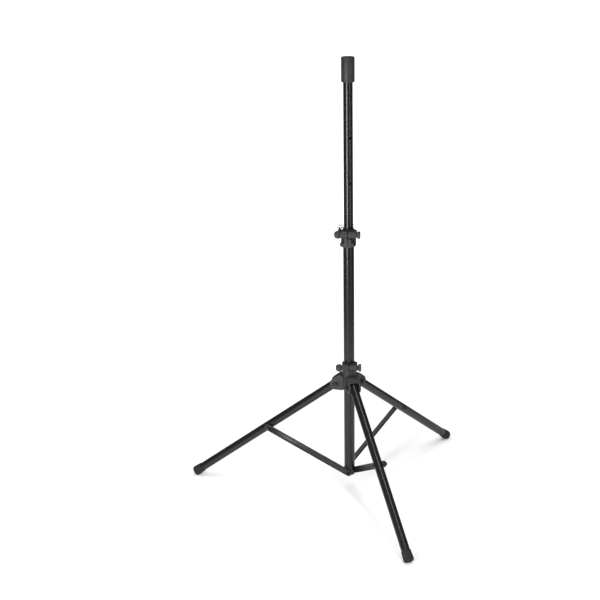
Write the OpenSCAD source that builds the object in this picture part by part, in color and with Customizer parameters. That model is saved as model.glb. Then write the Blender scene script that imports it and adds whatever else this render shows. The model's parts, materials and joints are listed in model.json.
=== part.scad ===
// Telescoping tripod stand for a loudspeaker.
// The origin is on the floor under the mast's axis, +Z is up and the front leg points along -Y.
// Every module is drawn with the legs fully spread and the pole half way out.

/* [Mast] */
// Diameter of the fixed main tube
mast_d = 31.75; // [30:0.25:35]
// Wall of both mast tubes
mast_wall = 1.2; // [1:0.1:1.2]
// Height of the main tube's lower end above the floor
mast_bottom = 52; // [45:1:53]
// Height of the main tube's upper end
mast_top = 790; // [700:1:900]
// Diameter of the sliding pole
pole_d = 27; // [25:0.1:27.5]
// Length of the sliding pole
pole_len = 984; // [900:1:1000]
// Height of the pole adapter's lower rim
adapter_bottom = 1245; // [1150:1:1400]
// Diameter of the pole adapter, for a 1-1/2 inch loudspeaker socket
adapter_d = 38.1; // [35:0.1:38.1]
// Length of the pole adapter
adapter_len = 69.5; // [50:0.5:90]
// Radius of the locking holes in the pole
pin_hole_r = 3.3; // [3:0.1:4]
// Distance between locking holes
pin_pitch = 130; // [100:1:150]
// Number of locking holes
pin_holes = 6; // [2:1:6]
// Height of the highest locking hole
pin_hole_top = 1088; // [1000:1:1100]
// Direction in which the locking holes are drilled
pin_hole_turn = -83; // [-180:1:180]

/* [Collar] */
// Height of the collar's lower rim
collar_bottom = 773; // [700:1:780]
// Height of the collar's upper rim
collar_top = 822; // [815:1:840]
// Outer radius of the collar's body
collar_r = 22; // [21:0.5:24]
// Direction in which the collar's slit points
collar_turn = -114; // [-180:1:180]
// Height of the collar's knob screw
collar_screw_z = 811; // [808:0.5:812]
// Height of the collar's lower bolt
collar_bolt_z = 781; // [780:0.5:784]

/* [Yoke] */
// Height of the leg pivots
pivot_z = 345; // [330:1:360]
// Distance of the leg pivots from the mast's axis
pivot_r = 39; // [38.5:0.5:44]
// Height of the yoke's lower rim
yoke_bottom = 327; // [322:1:330]
// Height of the yoke's upper rim
yoke_top = 414; // [410:1:420]
// Direction in which the yoke's slit points
yoke_turn = -109; // [-115:1:-100]
// Outer radius of the yoke's sleeve
yoke_r = 21; // [20:0.5:22]
// Thickness of each ear that holds a leg
ear_t = 5; // [4:0.5:6]

/* [Clamps] */
// Distance of the clamp screws from the mast's axis
clamp_screw_r = 25.5; // [25:0.5:27]
// Half the width of the clamp boss
clamp_half = 20.5; // [18:0.5:21]
// Width of the clamp slit
slit_w = 2.4; // [2:0.1:3]
// Radius of the clamp screws
screw_r = 3.175; // [3:0.025:3.2]
// Diameter across the knob's lobes
knob_d = 23; // [20:0.5:26]
// Length of the knob's head
knob_len = 17; // [12:1:18]
// Number of lobes on a knob
knob_lobes = 6; // [5:1:8]

/* [Legs] */
// Angle of the spread legs below the horizontal
leg_angle = 36.3; // [32:0.1:40]
// Diameter of a leg tube
leg_d = 25.4; // [25:0.1:25.4]
// Wall of a leg tube
leg_wall = 1.2; // [1:0.1:1.5]
// Radius of a rubber foot at its end
foot_r = 14.9; // [14.4:0.1:15]
// Depth of the flat that the floor cuts from a foot
foot_flat = 1.2; // [0.8:0.1:2]

/* [Braces] */
// Height of the brace pivots at the foot of the mast
hub_z = 57; // [56:0.5:60]
// Distance from the leg's pivot to the brace's pivot on the leg
brace_at = 264.6; // [255:0.1:275]
// Width of a brace
brace_w = 19.5; // [15:0.5:20]
// Thickness of a brace
brace_t = 3; // [2.5:0.5:3]
// Distance of a brace's inner face from the leg's middle plane
brace_in = 17; // [16.9:0.1:17.5]

/* [Hidden] */

// Curves are drawn with this many sides
$fn = 96;
// Smallest step, so that a cut runs past the surface it opens
eps = 0.5;
// Radial clearance of a part that is pressed or screwed home
fit_gap = 0.02;
// Radial clearance of a part that turns or slides
run_gap = 0.06;
// Axial clearance between a head and what it holds
seat_gap = 0.05;

// Directions of the three legs and their braces
az_front = -90;
az_back = 30;
az_left = 150;
leg_azimuths = [az_front, az_back, az_left];

mast_r = mast_d / 2;
pole_r = pole_d / 2;
leg_r = leg_d / 2;
brace_out = brace_in + brace_t;

// Colours
tube_black = [0.08, 0.08, 0.08];
moulded_black = [0.17, 0.17, 0.17];
rubber_black = [0.12, 0.12, 0.12];
steel_dark = [0.25, 0.25, 0.26];
steel_bright = [0.62, 0.62, 0.63];

// ---- Frames and common shapes ----

// Turns a drawing so that +X points along an azimuth
module facing(azimuth) {
    rotate([0, 0, azimuth]) children();
}

// +Z runs down the spread leg from its pivot, and Y stays level
module on_leg(azimuth) {
    facing(azimuth)
        translate([pivot_r, 0, pivot_z])
            rotate([0, 90 + leg_angle, 0])
                children();
}

// A round bar along Y between two values of y
module bar_y(r, y0, y1) {
    translate([0, y0, 0])
        rotate([-90, 0, 0])
            cylinder(r = r, h = y1 - y0);
}

// A hexagon along Y between two values of y
module hex_y(across, y0, y1) {
    translate([0, y0, 0])
        rotate([-90, 0, 0])
            cylinder(d = across / cos(30), h = y1 - y0, $fn = 6);
}

// A tube along Z
module tube(r, wall, z0, z1) {
    translate([0, 0, z0])
        difference() {
            cylinder(r = r, h = z1 - z0);
            translate([0, 0, -eps])
                cylinder(r = r - wall, h = z1 - z0 + 2 * eps);
        }
}

// A round wire between two points
module wire(p, q, r) {
    v = q - p;
    n = norm(v);
    translate(p)
        rotate([0, acos(v[2] / n), atan2(v[1], v[0])])
            cylinder(r = r, h = n);
}

// A pan head along Y, wide end at y0, growing towards direction dir
module pan_head_y(r, height, y0, dir) {
    crown = 0.3;
    translate([0, y0, 0])
        rotate([-90 * dir, 0, 0])
            rotate_extrude()
                polygon([
                    [0, 0],
                    [r, 0],
                    [r, height * (1 - crown)],
                    [r * (1 - crown), height],
                    [0, height]
                ]);
}

// ---- Mast ----

hub_screw_r = 3;
hub_screw_tip = 6;
hub_head_r = 5.5;
hub_head_t = 3;
hub_washer_r = 7;
hub_washer_t = 1;
plug_depth = 30;
plug_flange = 3;

module main_tube() {
    color(tube_black)
        difference() {
            tube(mast_r, mast_wall, mast_bottom, mast_top);
            for (a = leg_azimuths)
                facing(a)
                    translate([0, 0, hub_z])
                        bar_y(hub_screw_r + run_gap, hub_screw_tip, brace_in);
        }
}

// Closes the main tube's lower end and takes the three brace screws
module base_plug() {
    bore_r = mast_r - mast_wall;
    color(moulded_black)
        difference() {
            union() {
                translate([0, 0, mast_bottom - plug_flange])
                    cylinder(r = mast_r, h = plug_flange - seat_gap);
                translate([0, 0, mast_bottom - plug_flange])
                    cylinder(r = bore_r - fit_gap, h = plug_depth + plug_flange);
            }
            for (a = leg_azimuths)
                facing(a)
                    translate([0, 0, hub_z])
                        bar_y(hub_screw_r + fit_gap, hub_screw_tip - eps, mast_r + eps);
        }
}

module hub_screws() {
    color(steel_dark)
        for (a = leg_azimuths)
            facing(a)
                translate([0, 0, hub_z]) {
                    bar_y(hub_screw_r, hub_screw_tip, brace_out + 2 * seat_gap);
                    pan_head_y(hub_head_r, hub_head_t, brace_out + seat_gap, 1);
                }
}

// Washers that keep the braces off the tube
module hub_washers() {
    color(moulded_black)
        for (a = leg_azimuths)
            facing(a)
                translate([0, 0, hub_z])
                    difference() {
                        bar_y(hub_washer_r, brace_in - seat_gap - hub_washer_t, brace_in - seat_gap);
                        bar_y(hub_screw_r + run_gap, mast_r - eps, brace_in + eps);
                    }
}

// ---- Pole ----

pole_top = adapter_bottom + adapter_len - 10;
pole_bottom = pole_top - pole_len;
adapter_edge = 2;
adapter_screw_z = adapter_bottom + 16;
adapter_screw_r = 2;
adapter_head_r = 4;
adapter_head_t = 2.4;
bush_len = 26;
bush_flange = 5;

module pole_cross_hole(z, r, reach) {
    rotate([0, 0, pin_hole_turn])
        translate([reach[0], 0, z])
            rotate([0, 90, 0])
                cylinder(r = r, h = reach[1] - reach[0]);
}

module upper_tube() {
    color(tube_black)
        difference() {
            tube(pole_r, mast_wall, pole_bottom, pole_top);
            for (i = [0 : pin_holes - 1])
                pole_cross_hole(pin_hole_top - i * pin_pitch, pin_hole_r, [-pole_r - eps, pole_r + eps]);
            pole_cross_hole(adapter_screw_z, adapter_screw_r + fit_gap, [0, pole_r + eps]);
        }
}

// Plastic sleeve over the pole's top that enters the loudspeaker's socket
module pole_adapter() {
    r = adapter_d / 2;
    color(moulded_black)
        difference() {
            translate([0, 0, adapter_bottom])
                rotate_extrude()
                    polygon([
                        [0, 0],
                        [r - adapter_edge / 2, 0],
                        [r, adapter_edge / 2],
                        [r, adapter_len - adapter_edge],
                        [r - adapter_edge, adapter_len],
                        [0, adapter_len]
                    ]);
            translate([0, 0, adapter_bottom - eps])
                cylinder(r = pole_r + fit_gap, h = pole_top - adapter_bottom + seat_gap + eps);
            pole_cross_hole(adapter_screw_z, adapter_screw_r + fit_gap, [0, r + eps]);
            pole_cross_hole(adapter_screw_z, adapter_head_r + fit_gap, [r - adapter_head_t, r + eps]);
        }
}

module adapter_screw() {
    r = adapter_d / 2;
    color(steel_dark) {
        pole_cross_hole(adapter_screw_z, adapter_screw_r, [pole_r - 2 * mast_wall, r - adapter_head_t]);
        pole_cross_hole(adapter_screw_z, adapter_head_r, [r - adapter_head_t + seat_gap, r - 0.3]);
        pole_cross_hole(adapter_screw_z, adapter_screw_r, [r - 2 * adapter_head_t, r - 1]);
    }
}

// Sleeve in the pole's lower end that guides it in the main tube
module guide_bush() {
    guide_r = mast_r - mast_wall - run_gap;
    color(moulded_black)
        difference() {
            union() {
                translate([0, 0, pole_bottom - bush_flange])
                    cylinder(r = guide_r, h = bush_flange - seat_gap);
                translate([0, 0, pole_bottom - bush_flange])
                    cylinder(r = pole_r - mast_wall - fit_gap, h = bush_len);
            }
            translate([0, 0, pole_bottom - bush_flange - eps])
                cylinder(r = pole_r - 3 * mast_wall, h = bush_len + 2 * eps);
        }
}

// ---- Split clamp, shared by the collar and the yoke ----
// +X points along the slit, the knob is on -Y and the nut on +Y.

nut_block = 19;
nut_block_t = 9;
nut_neck = 6.5;
nut_shoulder = 4;
nut_neck_r = 7;
knob_neck = 2;
knob_neck_r = 7.5;
nut_y = clamp_half + nut_neck + seat_gap;

// The boss that the screw pulls together, longer on the nut's side
module clamp_boss(z, height, half) {
    translate([clamp_screw_r, 0, z])
        bar_y(height / 2, -half, half + nut_shoulder);
    translate([0, -half, z - height / 2])
        cube([clamp_screw_r, 2 * half + nut_shoulder, height]);
}

// The round neck that the nut block stands on
module clamp_neck(z) {
    translate([clamp_screw_r, 0, z])
        bar_y(nut_neck_r, 0, clamp_half + nut_neck);
}

// The hole that the knob's screw runs through
module clamp_screw_hole(z) {
    translate([clamp_screw_r, 0, z])
        bar_y(screw_r + run_gap, -clamp_half - eps, nut_y + eps);
}

// The slit from the bore to the front
module clamp_slit(z0, z1, width = slit_w) {
    translate([0, -width / 2, z0])
        cube([clamp_screw_r * 2, width, z1 - z0]);
}

// A level slit that frees one side of the clamp from the body below it
module clamp_level_slit(z) {
    translate([0, -slit_w / 2, z])
        cube([clamp_screw_r * 2, clamp_half * 2, slit_w]);
}

module knob_head(z) {
    r = knob_d / 2;
    lobe_r = r * 0.3;
    y_in = -clamp_half - knob_neck;
    y_out = y_in - knob_len;
    translate([clamp_screw_r, 0, z])
        difference() {
            union() {
                bar_y(knob_neck_r, y_in, -clamp_half - seat_gap);
                bar_y(r - lobe_r, y_out, y_in);
                for (i = [0 : knob_lobes - 1])
                    rotate([0, i * 360 / knob_lobes, 0])
                        translate([r - lobe_r, 0, 0])
                            bar_y(lobe_r, y_out + 2, y_in - 1);
            }
            bar_y(screw_r + fit_gap, y_out + 5, 0);
        }
}

module knob_screw(z) {
    translate([clamp_screw_r, 0, z])
        bar_y(screw_r, -clamp_half - knob_neck - knob_len + 5 + seat_gap, nut_y + nut_block_t - 2);
}

module nut_cap(z) {
    corner = 2;
    side = nut_block / 2 - corner;
    translate([clamp_screw_r, 0, z])
        difference() {
            union() {
                for (x = [-side, side], h = [-side, side])
                    translate([x, 0, h])
                        bar_y(corner, nut_y, nut_y + nut_block_t);
                translate([-side - corner, nut_y, -side])
                    cube([nut_block, nut_block_t, 2 * side]);
                translate([-side, nut_y, -side - corner])
                    cube([2 * side, nut_block_t, nut_block]);
            }
            bar_y(screw_r + run_gap, 0, nut_y + nut_block_t - 1.5);
        }
}

// ---- Collar on top of the main tube ----

collar_head_h = 20;
collar_foot_h = 15;
collar_bolt_r = 2.5;
collar_bolt_half = 18;
collar_bolt_x = 22.5;
collar_chin_half = 12;
collar_foot_slit = 1;
collar_head_z = collar_screw_z - collar_head_h / 2 - slit_w;
bolt_head_r = 5;
bolt_head_t = 3.5;
eyelet_r = 6;
eyelet_t = 1.2;
dock_x = -6;
dock_y = -26.5;
dock_r = 6;
dock_bottom = 794;
dock_depth = 22;
pin_r = pin_hole_r - 0.1;

// The smooth front between the fixing bolt and the clamp
module collar_chin() {
    low = collar_bolt_z - collar_foot_h / 2;
    high = collar_head_z + slit_w + eps;
    reach = collar_bolt_x + collar_foot_h / 2;
    corner = 5;
    translate([reach - corner, -collar_chin_half + corner, low])
        cylinder(r = corner, h = high - low);
    translate([reach - corner, collar_chin_half - corner, low])
        cylinder(r = corner, h = high - low);
    translate([0, -collar_chin_half, low])
        cube([reach - corner, 2 * collar_chin_half, high - low]);
    translate([0, -collar_chin_half + corner, low])
        cube([reach, 2 * (collar_chin_half - corner), high - low]);
}

module collar() {
    color(moulded_black)
        facing(collar_turn)
            difference() {
                union() {
                    translate([0, 0, collar_bottom])
                        rotate_extrude()
                            polygon([
                                [0, 0],
                                [collar_r - 2, 0],
                                [collar_r, 4],
                                [collar_r, collar_top - collar_bottom - 5],
                                [collar_r - 5, collar_top - collar_bottom],
                                [0, collar_top - collar_bottom]
                            ]);
                    clamp_boss(collar_screw_z, collar_head_h, clamp_half);
                    clamp_neck(collar_screw_z);
                    translate([collar_bolt_x, 0, collar_bolt_z])
                        bar_y(collar_foot_h / 2, -collar_bolt_half, collar_bolt_half);
                    translate([0, -collar_bolt_half, collar_bolt_z - collar_foot_h / 2])
                        cube([collar_bolt_x, 2 * collar_bolt_half, collar_foot_h]);
                    collar_chin();
                    translate([dock_x, dock_y, dock_bottom])
                        cylinder(r = dock_r, h = dock_depth);
                    translate([dock_x - dock_r / 2, dock_y, dock_bottom])
                        cube([dock_r, -dock_y, dock_depth]);
                }
                translate([0, 0, collar_bottom - 2 * eps])
                    cylinder(r = mast_r + fit_gap, h = mast_top - collar_bottom + seat_gap + 2 * eps);
                translate([0, 0, collar_bottom - eps])
                    cylinder(r = pole_r + run_gap, h = collar_top - collar_bottom + 2 * eps);
                clamp_slit(collar_bottom - eps, collar_head_z + eps, collar_foot_slit);
                clamp_slit(collar_head_z, collar_top + eps);
                clamp_level_slit(collar_head_z);
                clamp_screw_hole(collar_screw_z);
                translate([collar_bolt_x, 0, collar_bolt_z])
                    bar_y(collar_bolt_r + fit_gap, -collar_bolt_half - eps, collar_bolt_half + eps);
                translate([dock_x, dock_y, dock_bottom + 3])
                    cylinder(r = pin_r + run_gap, h = dock_depth);
            }
}

// Holds the collar to the main tube
module collar_bolt() {
    head_y = -collar_bolt_half - eyelet_t - 2 * seat_gap;
    nut_out = collar_bolt_half + 2 * seat_gap + 4;
    color(steel_dark)
        facing(collar_turn)
            translate([collar_bolt_x, 0, collar_bolt_z]) {
                bar_y(collar_bolt_r, head_y - 1, nut_out);
                pan_head_y(bolt_head_r, bolt_head_t, head_y, -1);
            }
}

module collar_bolt_nut() {
    color(steel_dark)
        facing(collar_turn)
            translate([collar_bolt_x, 0, collar_bolt_z])
                difference() {
                    hex_y(8, collar_bolt_half + seat_gap, collar_bolt_half + seat_gap + 4);
                    bar_y(collar_bolt_r + fit_gap, 0, clamp_half * 2);
                }
}

module collar_knob_nut() {
    color(moulded_black)
        facing(collar_turn)
            nut_cap(collar_screw_z);
}

module collar_knob() {
    color(moulded_black)
        facing(collar_turn)
            knob_head(collar_screw_z);
}

module collar_knob_screw() {
    color(steel_bright)
        facing(collar_turn)
            knob_screw(collar_screw_z);
}

lanyard_r = 0.8;
crimp_r = 1.4;
loop_r = 17;
loop_z = 830;
loop_tilt = 14;
loop_join = -61;

// A point of the lanyard's tilted loop around the pole
function on_loop(angle) = [
    loop_r * cos(angle) * cos(loop_tilt),
    loop_r * sin(angle),
    loop_z - loop_r * cos(angle) * sin(loop_tilt)
];

// Wire that ties the locking pin to the stand: an eyelet under the bolt's head, a tail and a loop
module lanyard() {
    eyelet_y = -collar_bolt_half - seat_gap - eyelet_t;
    path = [
        [collar_bolt_x - eyelet_r + 0.4, eyelet_y + eyelet_t / 2, collar_bolt_z + 1],
        [10, -25.5, collar_bolt_z + 1],
        [10, -30, collar_screw_z + 6],
        on_loop(loop_join)
    ];
    color(steel_dark)
        facing(collar_turn) {
            translate([collar_bolt_x, 0, collar_bolt_z])
                difference() {
                    bar_y(eyelet_r, eyelet_y, eyelet_y + eyelet_t);
                    bar_y(collar_bolt_r + run_gap, eyelet_y - eps, 0);
                }
            for (i = [1 : len(path) - 1]) {
                wire(path[i - 1], path[i], lanyard_r);
                translate(path[i])
                    sphere(r = crimp_r);
            }
            translate([0, 0, loop_z])
                rotate([0, loop_tilt, 0])
                    rotate_extrude()
                        translate([loop_r, 0])
                            circle(r = lanyard_r, $fn = 32);
        }
}

// ---- Locking pin, parked in the collar ----

pin_foot = dock_bottom + 3 + seat_gap;
pin_collar_z = dock_bottom + dock_depth + seat_gap;
pin_flange_r = pin_r + 1.6;
pin_flange_t = 3;
pin_eye_r = 2.8;
pin_eye_h = 6;
ring_r = 6.5;
ring_wire_r = 0.8;
ring_lean = 50;
ring_hole_z = pin_collar_z + pin_flange_t + pin_eye_h / 2;

module locking_pin() {
    color(steel_bright)
        facing(collar_turn)
            translate([dock_x, dock_y, 0])
                difference() {
                    union() {
                        translate([0, 0, pin_foot])
                            cylinder(r = pin_r, h = pin_collar_z - pin_foot + eps);
                        translate([0, 0, pin_collar_z])
                            cylinder(r = pin_flange_r, h = pin_flange_t);
                        translate([0, 0, pin_collar_z])
                            cylinder(r = pin_eye_r, h = pin_flange_t + pin_eye_h);
                    }
                    translate([0, 0, ring_hole_z])
                        bar_y(ring_wire_r * 2, -dock_r, dock_r);
                }
}

// Pull ring through the pin's head
module pin_ring() {
    color(steel_bright)
        facing(collar_turn)
            translate([dock_x, dock_y, ring_hole_z])
                rotate([0, -ring_lean, 0])
                    translate([ring_r, 0, 0])
                        rotate_extrude()
                            translate([ring_r, 0])
                                circle(r = ring_wire_r, $fn = 32);
}

// ---- Yoke that slides on the main tube ----

ear_half = leg_r + 0.3 + ear_t;
ear_r = 17.5;
leg_swing_r = 15.4;
shoulder_z = pivot_z + 20;
shoulder_r = 10;
shoulder_at = 25;
yoke_screw_z = 403.5;
yoke_head_h = 20;
yoke_head_z = yoke_screw_z - yoke_head_h / 2 - slit_w;
heel_r = 5;
heel_at = 19;

// One block that holds a leg, before its slot is cut
module ear_block() {
    hull() {
        translate([pivot_r, 0, pivot_z])
            bar_y(ear_r, -ear_half, ear_half, $fn = 32);
        translate([shoulder_at, 0, shoulder_z])
            bar_y(shoulder_r, -ear_half, ear_half, $fn = 32);
        translate([heel_at, 0, yoke_bottom + heel_r])
            bar_y(heel_r, -ear_half, ear_half, $fn = 32);
    }
}

// The room that a leg needs between its ears, from straight out to folded down
module leg_slot() {
    half = leg_r + 0.3;
    far = 40;
    translate([pivot_r, 0, pivot_z])
        bar_y(leg_swing_r, -half, half);
    translate([pivot_r - leg_swing_r, -half, pivot_z - far])
        cube([far * 2, 2 * half, far]);
    translate([pivot_r, -half, pivot_z - far])
        cube([far * 2, 2 * half, far + leg_swing_r]);
}

module yoke() {
    color(moulded_black)
        difference() {
            union() {
                translate([0, 0, yoke_bottom])
                    rotate_extrude()
                        polygon([
                            [0, 0],
                            [yoke_r, 0],
                            [yoke_r, yoke_top - yoke_bottom - 4],
                            [yoke_r - 3, yoke_top - yoke_bottom],
                            [0, yoke_top - yoke_bottom]
                        ]);
                for (a = leg_azimuths)
                    facing(a)
                        ear_block();
                facing(yoke_turn) {
                    clamp_boss(yoke_screw_z, yoke_head_h, clamp_half);
                    clamp_neck(yoke_screw_z);
                }
            }
            translate([0, 0, yoke_bottom - eps])
                cylinder(r = mast_r + run_gap, h = yoke_top - yoke_bottom + 2 * eps);
            for (a = leg_azimuths)
                facing(a) {
                    leg_slot();
                    translate([pivot_r, 0, pivot_z])
                        bar_y(screw_r + run_gap, -ear_half - eps, ear_half + eps);
                }
            facing(yoke_turn) {
                clamp_slit(yoke_head_z, yoke_top + eps);
                clamp_level_slit(yoke_head_z);
                clamp_screw_hole(yoke_screw_z);
            }
        }
}

module yoke_knob_nut() {
    color(moulded_black)
        facing(yoke_turn)
            nut_cap(yoke_screw_z);
}

module yoke_knob() {
    color(moulded_black)
        facing(yoke_turn)
            knob_head(yoke_screw_z);
}

module yoke_knob_screw() {
    color(steel_bright)
        facing(yoke_turn)
            knob_screw(yoke_screw_z);
}

pivot_head_r = 6.5;
pivot_head_t = 3.2;
pivot_nut_t = 5;

module leg_pivot_bolts() {
    color(steel_dark)
        for (a = leg_azimuths)
            facing(a)
                translate([pivot_r, 0, pivot_z]) {
                    bar_y(screw_r, -ear_half - pivot_nut_t - 1, ear_half + 2 * seat_gap);
                    pan_head_y(pivot_head_r, pivot_head_t, ear_half + seat_gap, 1);
                }
}

module leg_pivot_nuts() {
    color(steel_dark)
        for (a = leg_azimuths)
            facing(a)
                translate([pivot_r, 0, pivot_z])
                    difference() {
                        hex_y(10, -ear_half - seat_gap - pivot_nut_t, -ear_half - seat_gap);
                        bar_y(screw_r + fit_gap, -ear_half * 2, 0);
                    }
}

// ---- Legs ----

foot_edge = 3;
foot_drop = (foot_r - foot_edge) * cos(leg_angle) + foot_edge - foot_edge * sin(leg_angle);
leg_len = (pivot_z - foot_drop + foot_flat) / sin(leg_angle);
foot_len = 29;
foot_wall_end = 7;
leg_head = -7;
leg_end_round = 14.5;
leg_bore_r = leg_r - leg_wall;
leg_bolt_r = 3;
leg_plug_len = 22;

module leg_tube(azimuth) {
    color(tube_black)
        on_leg(azimuth)
            difference() {
                tube(leg_r, leg_wall, leg_head, leg_len - foot_wall_end);
                bar_y(screw_r + run_gap, -leg_r - eps, leg_r + eps);
                translate([0, 0, brace_at])
                    bar_y(leg_bolt_r + fit_gap, -leg_r - eps, leg_r + eps);
            }
}

// Rounded plug in the leg's upper end, drilled for the pivot bolt
module leg_plug(azimuth) {
    color(moulded_black)
        on_leg(azimuth)
            difference() {
                union() {
                    intersection() {
                        sphere(r = leg_end_round);
                        translate([0, 0, -leg_end_round])
                            cylinder(r = leg_r, h = leg_end_round + leg_head - seat_gap);
                    }
                    translate([0, 0, leg_head - 1])
                        cylinder(r = leg_bore_r - fit_gap, h = leg_plug_len);
                }
                bar_y(screw_r + run_gap, -leg_r - eps, leg_r + eps);
            }
}

// Rubber cap on the leg's lower end, flat where it stands on the floor
module foot(azimuth) {
    lip_r = foot_r - 0.5;
    color(rubber_black)
        difference() {
            on_leg(azimuth)
                difference() {
                    translate([0, 0, leg_len - foot_len])
                        rotate_extrude() {
                            polygon([
                                [0, 0],
                                [lip_r - 1, 0],
                                [lip_r, 1],
                                [lip_r, 3],
                                [lip_r - 1, 4.5],
                                [foot_r, foot_len - foot_edge],
                                [foot_r - foot_edge, foot_len - foot_edge],
                                [foot_r - foot_edge, foot_len],
                                [0, foot_len]
                            ]);
                            translate([foot_r - foot_edge, foot_len - foot_edge])
                                circle(r = foot_edge);
                        }
                    translate([0, 0, leg_len - foot_len - eps])
                        cylinder(r = leg_r + fit_gap, h = foot_len - foot_wall_end + seat_gap + eps);
                }
            facing(azimuth)
                translate([pivot_r + leg_len * cos(leg_angle) - 60, -60, -20])
                    cube([120, 120, 20]);
        }
}

// Bolt through the leg that the brace turns on. It ends just short of the brace.
module brace_bolt(azimuth) {
    color(steel_dark)
        on_leg(azimuth)
            translate([0, 0, brace_at]) {
                bar_y(leg_bolt_r, -leg_r - 2 * seat_gap, brace_in - 2 * seat_gap);
                pan_head_y(6, 3.4, -leg_r - seat_gap, -1);
            }
}

module brace_spacer(azimuth) {
    color(moulded_black)
        on_leg(azimuth)
            translate([0, 0, brace_at])
                difference() {
                    bar_y(6.2, leg_r + seat_gap, brace_in - 2 * seat_gap);
                    bar_y(leg_bolt_r + fit_gap, 0, brace_in);
                }
}

// ---- Braces ----

brace_hub = [0, hub_z];
brace_tip = [
    pivot_r + brace_at * cos(leg_angle),
    pivot_z - brace_at * sin(leg_angle)
];
brace_run = brace_tip - brace_hub;
brace_len = norm(brace_run);
brace_angle = atan2(brace_run[1], brace_run[0]);
brace_eye_r = 3;

// +Z runs up the brace from its pivot on the mast, and Y stays level
module on_brace(azimuth) {
    facing(azimuth)
        translate([0, 0, hub_z])
            rotate([0, 90 - brace_angle, 0])
                children();
}

module brace(azimuth) {
    color(tube_black)
        on_brace(azimuth)
            difference() {
                union() {
                    bar_y(brace_w / 2, brace_in, brace_out);
                    translate([0, 0, brace_len])
                        bar_y(brace_w / 2, brace_in, brace_out);
                    translate([-brace_w / 2, brace_in, 0])
                        cube([brace_w, brace_t, brace_len]);
                }
                bar_y(hub_screw_r + run_gap, 0, brace_out + eps);
                translate([0, 0, brace_len])
                    bar_y(brace_eye_r + run_gap, 0, brace_out + eps);
            }
}

// Lock nut and bolt end at the brace's upper eye
module brace_nut(azimuth) {
    color(steel_dark)
        on_brace(azimuth)
            translate([0, 0, brace_len]) {
                bar_y(brace_eye_r, brace_in, brace_out + 6);
                hex_y(10, brace_out + seat_gap, brace_out + 5);
            }
}

main_tube();
base_plug();
hub_screws();
hub_washers();
collar();
collar_bolt();
collar_bolt_nut();
collar_knob_nut();
lanyard();
upper_tube();
pole_adapter();
adapter_screw();
guide_bush();
collar_knob();
collar_knob_screw();
locking_pin();
pin_ring();
yoke();
yoke_knob_nut();
leg_pivot_bolts();
leg_pivot_nuts();
yoke_knob();
yoke_knob_screw();
leg_tube(az_front);  // leg_tube_front
leg_plug(az_front);  // leg_plug_front
foot(az_front);  // foot_front
brace_bolt(az_front);  // brace_bolt_front
brace_spacer(az_front);  // brace_spacer_front
leg_tube(az_back);  // leg_tube_back
leg_plug(az_back);  // leg_plug_back
foot(az_back);  // foot_back
brace_bolt(az_back);  // brace_bolt_back
brace_spacer(az_back);  // brace_spacer_back
leg_tube(az_left);  // leg_tube_left
leg_plug(az_left);  // leg_plug_left
foot(az_left);  // foot_left
brace_bolt(az_left);  // brace_bolt_left
brace_spacer(az_left);  // brace_spacer_left
brace(az_front);  // brace_front
brace_nut(az_front);  // brace_nut_front
brace(az_back);  // brace_back
brace_nut(az_back);  // brace_nut_back
brace(az_left);  // brace_left
brace_nut(az_left);  // brace_nut_left
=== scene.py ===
import json
import math

import bmesh
import bpy
import numpy as np
from mathutils import Matrix, Vector

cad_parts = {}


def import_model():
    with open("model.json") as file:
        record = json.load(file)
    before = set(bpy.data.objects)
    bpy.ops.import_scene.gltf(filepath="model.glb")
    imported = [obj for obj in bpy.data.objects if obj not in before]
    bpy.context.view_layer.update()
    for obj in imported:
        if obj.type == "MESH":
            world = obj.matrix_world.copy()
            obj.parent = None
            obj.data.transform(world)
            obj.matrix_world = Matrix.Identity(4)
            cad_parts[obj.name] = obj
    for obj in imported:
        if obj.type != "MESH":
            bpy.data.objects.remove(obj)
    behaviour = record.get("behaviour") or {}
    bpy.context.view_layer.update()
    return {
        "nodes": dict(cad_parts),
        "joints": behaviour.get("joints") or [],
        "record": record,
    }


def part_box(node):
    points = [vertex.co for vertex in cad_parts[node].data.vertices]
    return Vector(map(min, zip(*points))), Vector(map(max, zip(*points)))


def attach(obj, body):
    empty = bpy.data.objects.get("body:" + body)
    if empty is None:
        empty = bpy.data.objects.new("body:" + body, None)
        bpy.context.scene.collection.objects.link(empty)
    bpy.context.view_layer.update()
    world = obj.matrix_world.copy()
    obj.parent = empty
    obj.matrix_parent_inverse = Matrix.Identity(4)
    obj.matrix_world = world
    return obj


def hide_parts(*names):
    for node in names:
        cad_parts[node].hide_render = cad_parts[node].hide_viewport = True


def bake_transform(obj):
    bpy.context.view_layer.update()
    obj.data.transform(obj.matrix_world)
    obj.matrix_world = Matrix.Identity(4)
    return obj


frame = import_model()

# ---- Names and joints of the frame ----

SIDES = ("front", "back", "left")
MM = 0.001
UP = Vector((0, 0, 1))
JOINTS = {joint["name"]: joint for joint in frame["joints"]}

scene = bpy.context.scene
collection = scene.collection


def node_points(node):
    """A CAD node's vertices at rest, as an array in metres."""
    vertices = frame["nodes"][node].data.vertices
    points = np.empty(len(vertices) * 3)
    vertices.foreach_get("co", points)
    return points.reshape(-1, 3)


def span(node, point, direction):
    """(low, high, largest radius) of a node along and around an axis."""
    offset = node_points(node) - np.array(point)
    axis = np.array(direction)
    along = offset @ axis
    radius = np.linalg.norm(offset - np.outer(along, axis), axis=1)
    return along.min(), along.max(), radius.max()


def placed(origin, along, across):
    """A matrix whose Z runs along one direction and whose X is nearest to another."""
    z = Vector(along).normalized()
    y = z.cross(Vector(across)).normalized()
    x = y.cross(z)
    matrix = Matrix((x, y, z)).transposed().to_4x4()
    matrix.translation = Vector(origin)
    return matrix


def joint_point(name):
    """A joint's place at rest, in metres."""
    return Vector(JOINTS[name]["pos_m"])


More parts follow.
